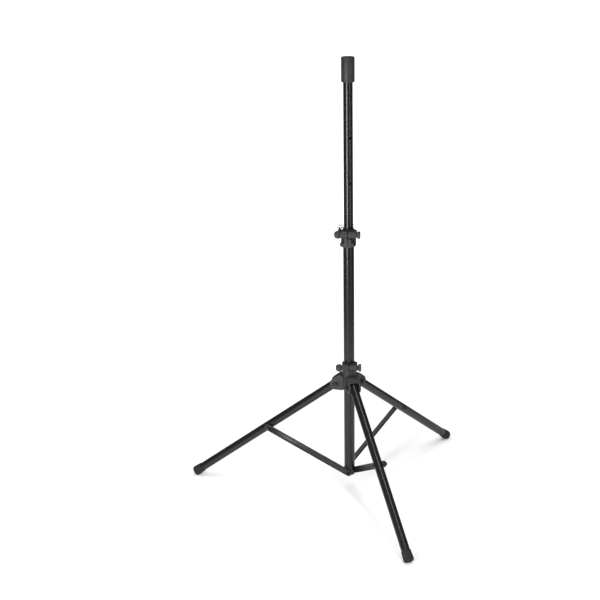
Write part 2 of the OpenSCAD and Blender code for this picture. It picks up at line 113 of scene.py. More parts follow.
def joint_axis(name):
    """A joint's unit axis."""
    return Vector(JOINTS[name]["axis"]).normalized()


def leg_direction(side):
    """Points down a spread leg. A folded leg hangs straight down, so its range gives its slope."""
    name = f"leg_{side}_fold"
    slope = math.radians(90 - JOINTS[name]["range_deg"][1])
    outward = joint_axis(name).cross(UP)
    return (outward * math.cos(slope) - UP * math.sin(slope)).normalized()


# ---- Materials ----

# Noise scales, in features per metre
TUBE_DRIFT = 9
TUBE_SCUFFS = 40
ORANGE_PEEL = 400
PLASTIC_DRIFT = 25
PLASTIC_GLOSS = 90
PLASTIC_WAVES = 160
SPARK_GRAIN = 2600
RUBBER_DUST = 120
RUBBER_GRAIN = 1500
TURNING_MARKS = 900
FLOOR_DRIFT = 3

# Heights of the surface relief
PEEL_HEIGHT = 0.03 * MM
GRAIN_HEIGHT = 0.08 * MM
WAVE_HEIGHT = 0.2 * MM
RUBBER_GRAIN_HEIGHT = 0.12 * MM
MARK_HEIGHT = 0.04 * MM

# Red, green and blue of a warm grey
WARMTH = (1, 0.985, 0.965)

# A base colour drifts between these shares of itself
DARKER = 0.9
LIGHTER = 1.12

# Shares of the base colour where a surface is scuffed, rubbed or dusty, and in steel's pits and marks
SCUFFED = 2
RUBBED = 1.5
DUSTY = 2.2
PITTED = 0.8
BURNISHED = 1.15

# How far roughness strays below and above a material's own value
TUBE_SPREAD = (0.02, 0.03)
PLASTIC_SPREAD = (0.06, 0.08)
STEEL_SPREAD = (0.06, 0.1)

# Pointiness at which an edge starts to count, and at which it counts fully
EDGE_STARTS = 0.53
EDGE_FULL = 0.65

# Noise scales along X, Y and Z: drawn out along a tube, packed along a bar
ALONG_TUBE = (1, 1, 0.25)
ACROSS_BAR = (1, 1, 6)


class Nodes:
    """Short names for building one material's nodes."""

    def __init__(self, name):
        self.material = bpy.data.materials.new(name)
        self.material.use_nodes = True
        self.tree = self.material.node_tree
        self.shader = self.tree.nodes["Principled BSDF"]
        self.place = self.add("ShaderNodeTexCoord").outputs["Object"]

    def add(self, kind, **values):
        """A new node with some of its properties set."""
        node = self.tree.nodes.new(kind)
        for name, value in values.items():
            setattr(node, name, value)
        return node

    def link(self, source, target):
        self.tree.links.new(source, target)

    def noise(self, scale, detail=3.0, stretch=(1, 1, 1), rough=0.5):
        """A noise value over the piece's own coordinates."""
        mapping = self.add("ShaderNodeMapping")
        mapping.inputs["Scale"].default_value = stretch
        self.link(self.place, mapping.inputs["Vector"])
        noise = self.add("ShaderNodeTexNoise")
        noise.inputs["Scale"].default_value = scale
        noise.inputs["Detail"].default_value = detail
        noise.inputs["Roughness"].default_value = rough
        self.link(mapping.outputs["Vector"], noise.inputs["Vector"])
        return noise.outputs["Fac"]

    def ramp(self, source, low, high, start=0.35, end=0.65):
        """Maps a value between two greys or two colours."""
        ramp = self.add("ShaderNodeValToRGB")
        stops = ramp.color_ramp.elements
        stops[0].position, stops[1].position = start, end
        stops[0].color = (*low, 1)
        stops[1].color = (*high, 1)
        self.link(source, ramp.inputs["Fac"])
        return ramp.outputs["Color"]

    def range(self, source, low, high, start=0.3, end=0.7):
        """Maps a value from one range onto another."""
        remap = self.add("ShaderNodeMapRange")
        remap.inputs["From Min"].default_value = start
        remap.inputs["From Max"].default_value = end
        remap.inputs["To Min"].default_value = low
        remap.inputs["To Max"].default_value = high
        self.link(source, remap.inputs["Value"])
        return remap.outputs["Result"]

    def around(self, source, value, spread):
        """Lets a value stray below and above itself with a noise."""
        below, above = spread
        return self.range(source, value - below, value + above)

    def mix(self, share, base, other):
        """Blends two colours."""
        mix = self.add("ShaderNodeMix", data_type="RGBA")
        self.link(share, mix.inputs["Factor"])
        self.link(base, mix.inputs["A"])
        self.link(other, mix.inputs["B"])
        return mix.outputs["Result"]

    def bump(self, height, distance, strength=1.0, below=None):
        """A normal from a height, on top of another normal where one is given."""
        bump = self.add("ShaderNodeBump")
        bump.inputs["Distance"].default_value = distance
        bump.inputs["Strength"].default_value = strength
        self.link(height, bump.inputs["Height"])
        if below is not None:
            self.link(below, bump.inputs["Normal"])
        return bump.outputs["Normal"]

    def edges(self):
        """Near 1 on sharp outer edges and 0 elsewhere."""
        pointiness = self.add("ShaderNodeNewGeometry").outputs["Pointiness"]
        return self.range(pointiness, 0, 1, EDGE_STARTS, EDGE_FULL)

    def set(self, **links):
        """Links or sets inputs of the surface shader, named with underscores for spaces."""
        for name, source in links.items():
            target = self.shader.inputs[name.replace("_", " ")]
            if hasattr(source, "links"):
                self.link(source, target)
            else:
                target.default_value = source


def grey(value):
    """A slightly warm grey."""
    return tuple(value * share for share in WARMTH)


def painted_tube(name, base, rough):
    """Satin powder coat: a soft orange peel, faint colour drift and handling marks along the tube."""
    n = Nodes(name)
    drift = n.ramp(n.noise(TUBE_DRIFT), grey(base * DARKER), grey(base * LIGHTER))
    scuffs = n.noise(TUBE_SCUFFS, detail=4, stretch=ALONG_TUBE, rough=0.6)
    worn = n.ramp(scuffs, grey(base), grey(base * SCUFFED))
    marked = n.mix(n.range(scuffs, low=0, high=0.3, start=0.62, end=0.85), drift, worn)
    peel = n.bump(n.noise(ORANGE_PEEL, detail=2), PEEL_HEIGHT, strength=0.1)
    n.set(Base_Color=marked, Roughness=n.around(scuffs, rough, TUBE_SPREAD), Normal=peel)
    n.set(Specular_IOR_Level=0.5)
    return n.material


def moulded(name, base, rough):
    """Charcoal moulded plastic: fine spark-eroded grain, paler rubbed edges."""
    n = Nodes(name)
    drift = n.ramp(n.noise(PLASTIC_DRIFT), grey(base * DARKER), grey(base * LIGHTER))
    grain = n.noise(SPARK_GRAIN, detail=3)
    worn = n.mix(n.edges(), drift, n.ramp(grain, grey(base * RUBBED), grey(base * SCUFFED)))
    fine = n.bump(grain, GRAIN_HEIGHT, strength=0.5)
    soft = n.bump(n.noise(PLASTIC_WAVES, detail=2), WAVE_HEIGHT, strength=0.15, below=fine)
    gloss = n.around(n.noise(PLASTIC_GLOSS), rough, PLASTIC_SPREAD)
    n.set(Base_Color=worn, Roughness=gloss, Normal=soft)
    n.set(Specular_IOR_Level=0.45)
    return n.material


def rubber(name, base):
    """Dull black rubber with dust in its grain."""
    n = Nodes(name)
    dust = n.noise(RUBBER_DUST, detail=5, rough=0.7)
    colour = n.ramp(dust, grey(base), grey(base * DUSTY), start=0.45, end=0.75)
    grain = n.bump(n.noise(RUBBER_GRAIN, detail=4), RUBBER_GRAIN_HEIGHT, strength=0.6)
    n.set(Base_Color=colour, Roughness=n.range(dust, low=0.62, high=0.85), Normal=grain)
    n.set(Specular_IOR_Level=0.35)
    return n.material


def steel(name, base, rough, metallic=1.0):
    """Plated steel with fine turning marks and darker pits."""
    n = Nodes(name)
    marks = n.noise(TURNING_MARKS, detail=5, stretch=ACROSS_BAR, rough=0.7)
    colour = n.ramp(marks, grey(base * PITTED), grey(base * BURNISHED))
    fine = n.bump(marks, MARK_HEIGHT, strength=0.5)
    n.set(Base_Color=colour, Roughness=n.around(marks, rough, STEEL_SPREAD), Normal=fine)
    n.set(Metallic=metallic)
    return n.material


MATERIALS = {
    "tube_paint": painted_tube("tube_paint", base=0.008, rough=0.24),
    "brace_paint": painted_tube("brace_paint", base=0.011, rough=0.42),
    "moulded_plastic": moulded("moulded_plastic", base=0.028, rough=0.48),
    "rubber_foot": rubber("rubber_foot", base=0.012),
    "dark_steel": steel("dark_steel", base=0.05, rough=0.36, metallic=0.85),
    "bright_steel": steel("bright_steel", base=0.16, rough=0.3),
}
SLOTS = {part["node"]: part["material_slot"] for part in frame["record"]["subparts"]}


def dress(obj, slot_name):
    """Gives a piece its slot's procedural material."""
    obj.data.materials.clear()
    obj.data.materials.append(MATERIALS[slot_name])


def shade_smooth(obj, sharp):
    """Shades curves smoothly, and keeps edges sharper than an angle in degrees."""
    for polygon in obj.data.polygons:
        polygon.use_smooth = True
    obj.data.set_sharp_from_angle(angle=math.radians(sharp))


def round_edges(obj, width, angle):
    """Rounds a piece's edges, where they are sharper than an angle in degrees."""
    bevel = obj.modifiers.new("edge", "BEVEL")
    bevel.width = width
    bevel.segments = 2
    bevel.limit_method = "ANGLE"
    bevel.angle_limit = math.radians(angle)


# ---- Mesh tools ----

ON_AXIS = 1e-7
NEARLY_STRAIGHT = math.radians(88)
MOST_OF_A_SIDE = 0.49
SHARP_ANGLE = 35
CUTTER_CLEAR = 1 * MM


def fillet(outline, steps=5):
    """Rounds the corners of a closed outline of (radius, height, corner radius) points, in metres."""
    points = [Vector(p[:2]) for p in outline]
    result = []
    for i, (here, corner) in enumerate(zip(points, (p[2] for p in outline))):
        back = points[i - 1] - here
        ahead = points[(i + 1) % len(points)] - here
        half = back.angle(ahead) / 2
        if corner == 0 or half > NEARLY_STRAIGHT:
            result.append(here)
            continue
        trim = min(corner / math.tan(half), back.length * MOST_OF_A_SIDE, ahead.length * MOST_OF_A_SIDE)
        radius = trim * math.tan(half)
        inward = (back.normalized() + ahead.normalized()).normalized()
        middle = here + inward * radius / math.sin(half)
        start = here + back.normalized() * trim - middle
        end = here + ahead.normalized() * trim - middle
        turn = start.angle_signed(end)
        for k in range(steps + 1):
            bend = Matrix.Rotation(-turn * k / steps, 2)
            result.append(middle + bend @ start)
    return result


def lathe(outline, turns=96, shape=None):
    """Turns a closed outline of (radius, height) points about Z.

    shape(angle, radius, height) may give each point a new radius.
    """
    bm = bmesh.new()
    rings = []
    for radius, height in outline:
        if radius < ON_AXIS:
            rings.append([bm.verts.new((0, 0, height))])
            continue
        ring = []
        for k in range(turns):
            angle = math.tau * k / turns
            r = shape(angle, radius, height) if shape else radius
            ring.append(bm.verts.new((r * math.cos(angle), r * math.sin(angle), height)))
        rings.append(ring)
    pairs = list(zip(rings, rings[1:]))
    if len(rings[0]) > 1 or len(rings[-1]) > 1:
        pairs.append((rings[-1], rings[0]))
    for low, high in pairs:
        for k in range(turns):
            lower = [low[step % len(low)] for step in (k, k + 1)]
            upper = [high[step % len(high)] for step in (k + 1, k)]
            unique = list(dict.fromkeys(lower + upper))
            if len(unique) > 2:
                bm.faces.new(unique)
    bmesh.ops.recalc_face_normals(bm, faces=bm.faces)
    return bm


def merged(*parts):
    """Joins several bmeshes into one."""
    total = bmesh.new()
    for part in parts:
        mesh = bpy.data.meshes.new("part")
        part.to_mesh(mesh)
        total.from_mesh(mesh)
        bpy.data.meshes.remove(mesh)
        part.free()
    return total


def as_object(name, bm):
    """Puts a bmesh into the scene."""
    mesh = bpy.data.meshes.new(name)
    bm.to_mesh(mesh)
    bm.free()
    obj = bpy.data.objects.new(name, mesh)
    collection.objects.link(obj)
    return obj


def applied(obj):
    """Replaces an object's mesh with its evaluated one and drops the modifiers."""
    bpy.context.view_layer.update()
    evaluated = obj.evaluated_get(bpy.context.evaluated_depsgraph_get())
    mesh = bpy.data.meshes.new_from_object(evaluated)
    obj.modifiers.clear()
    obj.data = mesh


def cut(obj, cutter_bm):
    """Takes a shape out of an object."""
    cutter = as_object("cutter", cutter_bm)
    modifier = obj.modifiers.new("cut", "BOOLEAN")
    modifier.operation = "DIFFERENCE"
    modifier.solver = "EXACT"
    modifier.object = cutter
    applied(obj)
    bpy.data.objects.remove(cutter)


def finished(obj, body, slot_name, *replaced, sharp=SHARP_ANGLE):
    """Shades a new piece, gives it its material, sets it riding and hides what it stands for."""
    dress(obj, slot_name)
    shade_smooth(obj, sharp)
    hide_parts(*replaced)
    if body:
        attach(obj, body)


# ---- Rubber feet ----

FOOT_FLUTES = 24
FLUTE_SIDES = 8
FLUTE_DEPTH = 0.45 * MM
FLUTE_ROUNDNESS = 0.7
PRESS_GAP = 0.02 * MM
BORE_END_GAP = 0.1 * MM
FOOT_LIP = 3.4 * MM
FOOT_LIP_INSET = 0.6 * MM
FOOT_GROOVE_START = 4.4 * MM
FOOT_GROOVE_END = 5.2 * MM
FOOT_GROOVE_INSET = 1.5 * MM
FOOT_SHOULDER = 6.2 * MM
FOOT_SHOULDER_INSET = 0.7 * MM
FOOT_TAPER_END = 6 * MM
FOOT_TIP_RADIUS = 3 * MM
FLUTES_START = 7 * MM
FLUTES_END = 4 * MM
FLUTE_REACH = 1.2 * MM
LONG_SIDE = 8 * MM

# Where a long straight side of the outline gets extra points, for the flutes' ends
SIDE_POINTS = (0.04, 0.1, 0.2, 0.5, 0.8, 0.9, 0.96)


def rubber_foot(side):
    """A ribbed cap with a lip and a groove at its mouth, pressed flat where it stands."""
    pivot, down = joint_point(f"leg_{side}_fold"), leg_direction(side)
    start, end, reach = span(f"foot_{side}", pivot, down)
    _, tube_end, tube_r = span(f"leg_tube_{side}", pivot, down)
    bore = tube_r + PRESS_GAP
    floor_of_bore = tube_end + BORE_END_GAP
    lip_r = reach - FOOT_LIP_INSET
    groove_r = reach - FOOT_GROOVE_INSET
    outline = fillet([
        (bore, start, 0.3 * MM),
        (lip_r, start, 0.8 * MM),
        (lip_r, start + FOOT_LIP, 0.8 * MM),
        (groove_r, start + FOOT_GROOVE_START, 0.5 * MM),
        (groove_r, start + FOOT_GROOVE_END, 0.5 * MM),
        (reach - FOOT_SHOULDER_INSET, start + FOOT_SHOULDER, 0.6 * MM),
        (reach, end - FOOT_TAPER_END, 1 * MM),
        (reach, end, FOOT_TIP_RADIUS),
        (0, end, 0),
        (0, floor_of_bore, 0),
        (bore, floor_of_bore, 0),
    ])
    ribs_low, ribs_high = start + FLUTES_START, end - FLUTES_END

    def ribs(angle, radius, height):
        if not ribs_low < height < ribs_high or radius <= reach - FLUTE_REACH:
            return radius
        return radius - FLUTE_DEPTH * max(0, math.cos(FOOT_FLUTES * angle)) ** FLUTE_ROUNDNESS

    detailed = []
    for here, after in zip(outline, outline[1:]):
        detailed.append(here)
        if (after - here).length > LONG_SIDE and here.x > bore and after.x > bore:
            for share in SIDE_POINTS:
                detailed.append(here.lerp(after, share))
    detailed.append(outline[-1])
    bm = lathe(detailed, turns=FOOT_FLUTES * FLUTE_SIDES, shape=ribs)
    bm.transform(placed(pivot, down, UP))
    for vertex in bm.verts:
        vertex.co.z = max(vertex.co.z, 0)
    obj = as_object(f"foot_{side}_rubber", bm)
    finished(obj, f"leg_{side}_body", "rubber_foot", f"foot_{side}", sharp=50)


# ---- Hand knobs and nut blocks ----

KNOB_LOBES = 6
LOBE_SIDES = 24
LOBE_SHARPNESS = 1.3
SCALLOP = 2.2 * MM
KNOB_NECK_R = 7.5 * MM
KNOB_NECK = 2.6 * MM
KNOB_UNDERCUT = 0.8 * MM
KNOB_BACK = 3 * MM
KNOB_BACK_INSET = 1.4 * MM
KNOB_DOME = 6.5 * MM
KNOB_DOME_R = 5 * MM
KNOB_FACE_INSET = 3.6 * MM
KNOB_FACE_DROP = 1.6 * MM
PLUG_R = 6 * MM
PLUG_LIP = 0.4 * MM
PLUG_GROOVE = 1.6 * MM
PLUG_GAP = 0.6 * MM
PLUG_EDGE = 1 * MM
PLUG_RISE = 0.5 * MM
PLUG_TOP_R = 2.5 * MM


def knob(name):
    """A lobed hand knob with a collared neck, a domed face and a round plug in it."""
    joint = f"{name}_knob_turn"
    centre, outward = joint_point(joint), -joint_axis(joint)
    near, far, reach = span(f"{name}_knob", centre, outward)
    rim = near + KNOB_NECK
    outline = fillet([
        (0, near, 0),
        (KNOB_NECK_R, near, 0.3 * MM),
        (KNOB_NECK_R, rim - KNOB_UNDERCUT, 0.4 * MM),
        (reach - KNOB_BACK_INSET, rim, 1.2 * MM),
        (reach, rim + KNOB_BACK, 1.5 * MM),
        (reach, far - KNOB_DOME, KNOB_DOME_R),
        (reach - KNOB_FACE_INSET, far - KNOB_FACE_DROP, 4 * MM),
        (PLUG_R + PLUG_LIP, far - PLUG_LIP, 0.5 * MM),
        (PLUG_R, far - PLUG_GROOVE, 0.3 * MM),
        (PLUG_R - PLUG_GAP, far - PLUG_GROOVE, 0.3 * MM),
        (PLUG_R - PLUG_EDGE, far - PLUG_RISE, 0.4 * MM),
        (PLUG_TOP_R, far, 1 * MM),
        (0, far, 0),
    ])

    def lobes(angle, radius, height):
        depth = SCALLOP * min(1, max(0, radius - KNOB_NECK_R) / (reach - KNOB_NECK_R))
        return radius - depth * (0.5 - 0.5 * math.cos(KNOB_LOBES * angle)) ** LOBE_SHARPNESS

    bm = lathe(outline, turns=KNOB_LOBES * LOBE_SIDES, shape=lobes)
    bm.transform(placed(centre, outward, UP))
    obj = as_object(f"{name}_hand_knob", bm)
    finished(obj, f"{name}_knob_body", "moulded_plastic", f"{name}_knob", sharp=40)


SQUARENESS = 7
ROUND_WITHIN = 7 * MM
NUT_POCKET_R = 6.2 * MM
NUT_POCKET_LIP = 0.4 * MM
NUT_POCKET = 1 * MM
NUT_DOME_R = 3 * MM
NUT_DOME_DROP = 0.8 * MM
SCREW_GAP = 0.1 * MM
SCREW_HOLE_END = 1.4 * MM


def nut_block(name, body):
    """A rounded square block that holds the knob screw's nut."""
    joint = f"{name}_knob_turn"
    centre, outward = joint_point(joint), joint_axis(joint)
    near, far, _ = span(f"{name}_knob_nut", centre, outward)
    low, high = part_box(f"{name}_knob_nut")
    half = (high.z - low.z) / 2
    hole = span(f"{name}_knob_screw", centre, outward)[2] + SCREW_GAP
    outline = fillet([
        (hole, near, 0),
        (half, near, 0.9 * MM),
        (half, far, 1.4 * MM),
        (NUT_POCKET_R + NUT_POCKET_LIP, far, 0.4 * MM),
        (NUT_POCKET_R, far - NUT_POCKET, 0.3 * MM),
        (NUT_DOME_R, far - NUT_POCKET, 0),
        (0, far - NUT_DOME_DROP, 0),
        (0, far - SCREW_HOLE_END, 0),
        (hole, far - SCREW_HOLE_END, 0),
    ])

    def squared(angle, radius, height):
        if radius < ROUND_WITHIN:
            return radius
        spread = abs(math.cos(angle)) ** SQUARENESS + abs(math.sin(angle)) ** SQUARENESS
        share = (radius - ROUND_WITHIN) / (half - ROUND_WITHIN)
        return radius * (1 + share * (spread ** (-1 / SQUARENESS) - 1))

    bm = lathe(outline, shape=squared)
    bm.transform(placed(centre, outward, UP))
    obj = as_object(f"{name}_nut_block", bm)
    finished(obj, body, "moulded_plastic", f"{name}_knob_nut", sharp=40)


# ---- Moulded housings ----

YOKE_VOXEL = 0.8 * MM
COLLAR_VOXEL = 0.45 * MM
FILLET_PASSES = 4
EAR_REACH = 20 * MM
EAR_FACE_DEPTH = 0.5 * MM
RING_R = 10.5 * MM
RING_HALF_WIDTH = 1.3 * MM
RING_HEIGHT = 0.9 * MM
RING_OUTER = 14 * MM


def moulding(node_name, name, body, voxel, detail=None):
    """A CAD casting rebuilt as one skin with the small radii of a moulding, plus its surface detail."""
    source = frame["nodes"][node_name]
    obj = bpy.data.objects.new(name, source.data.copy())
    collection.objects.link(obj)
    remesh = obj.modifiers.new("skin", "REMESH")
    remesh.mode = "VOXEL"
    remesh.voxel_size = voxel
    smooth = obj.modifiers.new("fillets", "SMOOTH")
    smooth.factor = 0.5
    smooth.iterations = FILLET_PASSES
    applied(obj)
    if detail:
        count = len(obj.data.vertices)
        flat = np.empty(count * 3)
        obj.data.vertices.foreach_get("co", flat)
        points = detail(flat.reshape(-1, 3))
        obj.data.vertices.foreach_set("co", points.ravel())
        obj.data.update()
    finished(obj, body, "moulded_plastic", node_name, sharp=60)


def bump_profile(distance, centre, half_width):
    """A smooth 0 to 1 to 0 ridge around a distance."""
    away = np.clip(np.abs(distance - centre) / half_width, 0, 1)
    return 0.5 + 0.5 * np.cos(np.pi * away)


def ear_rings(points):
    """A raised ring around each leg bolt on both faces of its ears."""
    result = points.copy()
    for side in SIDES:
        pivot = np.array(joint_point(f"leg_{side}_fold"))
        axis = np.array(joint_axis(f"leg_{side}_fold"))
        offset = points - pivot
        along = offset @ axis
        distance = np.linalg.norm(offset - np.outer(along, axis), axis=1)
        outer_face = np.abs(along)[distance < EAR_REACH].max() - EAR_FACE_DEPTH
        on_ear = (np.abs(along) > outer_face) & (distance < RING_OUTER)
        lift = RING_HEIGHT * bump_profile(distance, RING_R, RING_HALF_WIDTH) * on_ear
        result += np.outer(lift * np.sign(along), axis)
    return result


# ---- Pole adapter ----

SLEEVE_GROOVES = (13 * MM, 9 * MM)
GROOVE_HALF = 0.8 * MM
GROOVE_FLOOR_HALF = 0.3 * MM
SLEEVE_GROOVE_DEPTH = 0.5 * MM
SLEEVE_FOOT = 3 * MM
SLEEVE_FOOT_INSET = 0.6 * MM
TOP_RIM = 7 * MM
TOP_DISH = 0.8 * MM
TOP_DISH_SLOPE = 0.6 * MM
POLE_END_GAP = 0.05 * MM
SCREW_RECESS = 2.4 * MM
RECESS_GAP = 0.1 * MM
RECESS_FLARE = 0.4 * MM


def pole_sleeve():
    """The adapter: a thick sleeve with rounded rims, two fine grooves and a recess for its screw."""
    low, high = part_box("pole_adapter")
    reach = (high.x - low.x) / 2
    pole_high, pole_r = span("upper_tube", (0, 0, 0), (0, 0, 1))[1:]
    bore = pole_r + PRESS_GAP
    outline = [
        (bore, low.z, 0.5 * MM),
        (reach - SLEEVE_FOOT_INSET, low.z, 1 * MM),
        (reach, low.z + SLEEVE_FOOT, 1.5 * MM),
    ]
    for below_top in SLEEVE_GROOVES:
        height = high.z - below_top
        outline += [
            (reach, height - GROOVE_HALF, 0.2 * MM),
            (reach - SLEEVE_GROOVE_DEPTH, height - GROOVE_FLOOR_HALF, 0.2 * MM),
            (reach - SLEEVE_GROOVE_DEPTH, height + GROOVE_FLOOR_HALF, 0.2 * MM),
            (reach, height + GROOVE_HALF, 0.2 * MM),
        ]
    outline += [
        (reach, high.z, 3 * MM),
        (reach - TOP_RIM, high.z, 0.5 * MM),
        (reach - TOP_RIM - TOP_DISH_SLOPE, high.z - TOP_DISH, 0.4 * MM),
        (0, high.z - TOP_DISH, 0),
        (0, pole_high + POLE_END_GAP, 0),
        (bore, pole_high + POLE_END_GAP, 0),
    ]
    obj = as_object("pole_sleeve", lathe(fillet(outline), turns=128))
    screw_low, screw_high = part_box("adapter_screw")
    height = (screw_low.z + screw_high.z) / 2
    outward = Vector((screw_low.x + screw_high.x, screw_low.y + screw_high.y, 0)).normalized()
    head_r = (screw_high.z - screw_low.z) / 2
    recess = lathe([
        (0, reach - SCREW_RECESS),
        (head_r + RECESS_GAP, reach - SCREW_RECESS),
        (head_r + RECESS_FLARE, reach + CUTTER_CLEAR),
        (0, reach + CUTTER_CLEAR),
    ], turns=48)
    recess.transform(placed((0, 0, height), outward, UP))
    cut(obj, recess)
    finished(obj, "pole", "moulded_plastic", "pole_adapter", sharp=40)


# ---- Braces ----

RIB_WIDTH = 3.4 * MM
PRESSED_DEPTH = 0.8 * MM
PRESSED_FROM_END = 16 * MM
BRACE_ROUNDING = 0.35 * MM


def pressed_brace(side):
    """A brace with a groove pressed along both faces, so that its edges stand up as two ribs."""
    name = f"brace_{side}"
    pivot, across = joint_point(f"{name}_fold"), joint_axis(f"{name}_fold")
    points = node_points(name)
    far = Vector(points[np.argmax(np.linalg.norm(points - np.array(pivot), axis=1))])
    reach = far - pivot
    along = (reach - across * reach.dot(across)).normalized()
    near_face, far_face, _ = span(name, pivot, across)
    low, high, _ = span(name, pivot, along.cross(across))
    start, end, _ = span(name, pivot, along)
    half = (high - low) / 2 - RIB_WIDTH
    run = (end - start) / 2 - PRESSED_FROM_END - half
    middle = pivot + along * (end + start) / 2
    obj = bpy.data.objects.new(f"{name}_pressed", frame["nodes"][name].data.copy())
    collection.objects.link(obj)
    profile = [
        (0, -PRESSED_DEPTH),
        (half, -PRESSED_DEPTH),
        (half + PRESSED_DEPTH, CUTTER_CLEAR),
        (0, CUTTER_CLEAR),
    ]
    for face, outward in ((near_face, -across), (far_face, across)):
        groove = lathe(profile, turns=48)
        for vertex in groove.verts:
            if vertex.co.x > 0:
                vertex.co.x += run
            elif vertex.co.x < 0:
                vertex.co.x -= run
        groove.transform(placed(middle + across * face, outward, along))
        cut(obj, groove)
    round_edges(obj, BRACE_ROUNDING, angle=30)
    finished(obj, f"{name}_body", "brace_paint", name, sharp=35)


# ---- Bolts ----

BOLT_REACH = 7 * MM
BOLT_LENGTH = 60 * MM
UNDER_HEAD = 0.2 * MM
NEARLY_HEAD = 0.95
HEXAGON = 6

# Shares of a head's height: its straight side, its two corner radii and its socket
HEAD_SIDE_SHARE = 0.5
HEAD_DOME_SHARE = 0.35
HEAD_TOP_CORNER_SHARE = 0.3
SOCKET_DEPTH_SHARE = 0.6

# Shares of a head's radius: its flat top and its socket
HEAD_TOP_SHARE = 0.8
SOCKET_SHARE = 0.58

SOCKET_LIP = 0.4 * MM
SOCKET_BEVEL = 0.3 * MM
SOCKET_CONE = 0.4 * MM

# Points this far outside a socket or below its floor stay round
SOCKET_AROUND = 0.1 * MM
SOCKET_BELOW = 0.5 * MM


def socket_head(radius, height, start, end, shank):
    """One bolt along Z: a shank from start to end, then a domed head with a hexagonal socket."""
    across = radius * SOCKET_SHARE
    top = end + height
    socket_floor = top - height * SOCKET_DEPTH_SHARE
    outline = fillet([
        (0, start, 0),
        (shank, start, 0.3 * MM),
        (shank, end, 0),
        (radius, end, 0.2 * MM),
        (radius, end + height * HEAD_SIDE_SHARE, height * HEAD_DOME_SHARE),
        (radius * HEAD_TOP_SHARE, top, height * HEAD_TOP_CORNER_SHARE),
        (across + SOCKET_LIP, top, 0.1 * MM),
        (across, top - SOCKET_BEVEL, 0),
        (across, socket_floor, 0),
        (0, socket_floor - SOCKET_CONE, 0),
    ], steps=4)

    def hexagonal(angle, r, h):
        if h < socket_floor - SOCKET_BELOW or r > across + SOCKET_AROUND:
            return r
        half_side = math.pi / HEXAGON
        sector = angle % (2 * half_side) - half_side
        return r * math.cos(half_side) / math.cos(sector)

    return lathe(outline, turns=72, shape=hexagonal)


def bolts(node_name, name, body, slot_name, lines):
    """The bolts of one node. Each line is (point on the axis, direction of its head)."""
    parts = []
    for point, direction in lines:
        offset = node_points(node_name) - np.array(point)
        axis = np.array(direction)
        along = offset @ axis
        around = np.linalg.norm(offset - np.outer(along, axis), axis=1)
        own = (around < BOLT_REACH) & (along > along[around < BOLT_REACH].max() - BOLT_LENGTH)
        head_r = around[own].max()
        head_start = along[own & (around > head_r * NEARLY_HEAD)].min()
        shank = around[own & (along < head_start - UNDER_HEAD)].max()
        bm = socket_head(head_r, along[own].max() - head_start, along[own].min(), head_start, shank)
        bm.transform(placed(point, direction, UP))
        parts.append(bm)
    obj = as_object(name, merged(*parts))
    finished(obj, body, slot_name, node_name, sharp=30)


# ---- Locking pin's wire ----

WIRE_R = 0.8 * MM
STRANDS = 3
STRAND_SHARE = 0.46
STRAND_SIDES = 8
TWIST = 6 * MM
PATH_STEP = 0.8 * MM


def twisted_wire(points, closed=False):
    """A rope of strands along a smooth path of points."""
    path = smooth_path(points, closed)
    bm = bmesh.new()
    strand_r = WIRE_R * STRAND_SHARE
    orbit = WIRE_R - strand_r
    lengths = [0.0]
    for a, b in zip(path, path[1:]):
        lengths.append(lengths[-1] + (b - a).length)
    turns = max(1, round(lengths[-1] / TWIST))
    frames = carried_frames(path)
    for strand in range(STRANDS):
        rings = []
        for k, (point, (x, y)) in enumerate(zip(path, frames)):
            phase = math.tau * (turns * lengths[k] / lengths[-1] + strand / STRANDS)
            centre = point + (x * math.cos(phase) + y * math.sin(phase)) * orbit
            ring = []
            for side in range(STRAND_SIDES):
                angle = math.tau * side / STRAND_SIDES
                ring.append(bm.verts.new(centre + (x * math.cos(angle) + y * math.sin(angle)) * strand_r))
            rings.append(ring)
        for low, high in zip(rings, rings[1:]):
            for side in range(STRAND_SIDES):
                after = (side + 1) % STRAND_SIDES
                bm.faces.new((low[side], low[after], high[after], high[side]))
        bm.faces.new(list(reversed(rings[0])))
        bm.faces.new(rings[-1])
    bmesh.ops.recalc_face_normals(bm, faces=bm.faces)
    return bm


def smooth_path(points, closed):
    """Catmull-Rom points through a few given ones."""
    points = [Vector(p) for p in points]
    if closed:
        ring = [points[-1], *points, points[0], points[1]]
    else:
        ring = [points[0] * 2 - points[1], *points, points[-1] * 2 - points[-2]]
    path = []
    for a, b, c, d in zip(ring, ring[1:], ring[2:], ring[3:]):
        pieces = max(2, math.ceil((c - b).length / PATH_STEP))
        for k in range(pieces):
            t = k / pieces
            path.append(0.5 * (2 * b + (c - a) * t + (2 * a - 5 * b + 4 * c - d) * t * t
                               + (3 * b - 3 * c + d - a) * t * t * t))
    path.append(ring[-2].copy())
    return path


def carried_frames(path):
    """Two cross directions at each point, carried along without twisting."""
    frames = []
    x = (path[1] - path[0]).orthogonal().normalized()
    for k in range(len(path)):
        before, after = path[max(0, k - 1)], path[min(len(path) - 1, k + 1)]
        ahead = (after - before).normalized()
        x = (x - ahead * x.dot(ahead)).normalized()
        frames.append((x, ahead.cross(x)))
    return frames


# The loop round the pole: its distance from the pole, its slope down to the front, and where the
# tail and the pin's end are crimped to it
LOOP_GAP = 3.5 * MM
LOOP_TILT = math.radians(14)
LOOP_JOIN = math.radians(-61)
LOOP_PIN = math.radians(-90)
LOOP_POINTS = 24

# The tail from the eyelet: (forward from the bolt, across from the bolt's end) of its points
TAIL = ((-5 * MM, 4.1 * MM), (-12.5 * MM, -1 * MM), (-12.5 * MM, -5.2 * MM), (-13 * MM, 2 * MM))
TAIL_START_RISE = 1 * MM
TAIL_BEND_RISE = 1.5 * MM
TAIL_END_DROP = 6 * MM

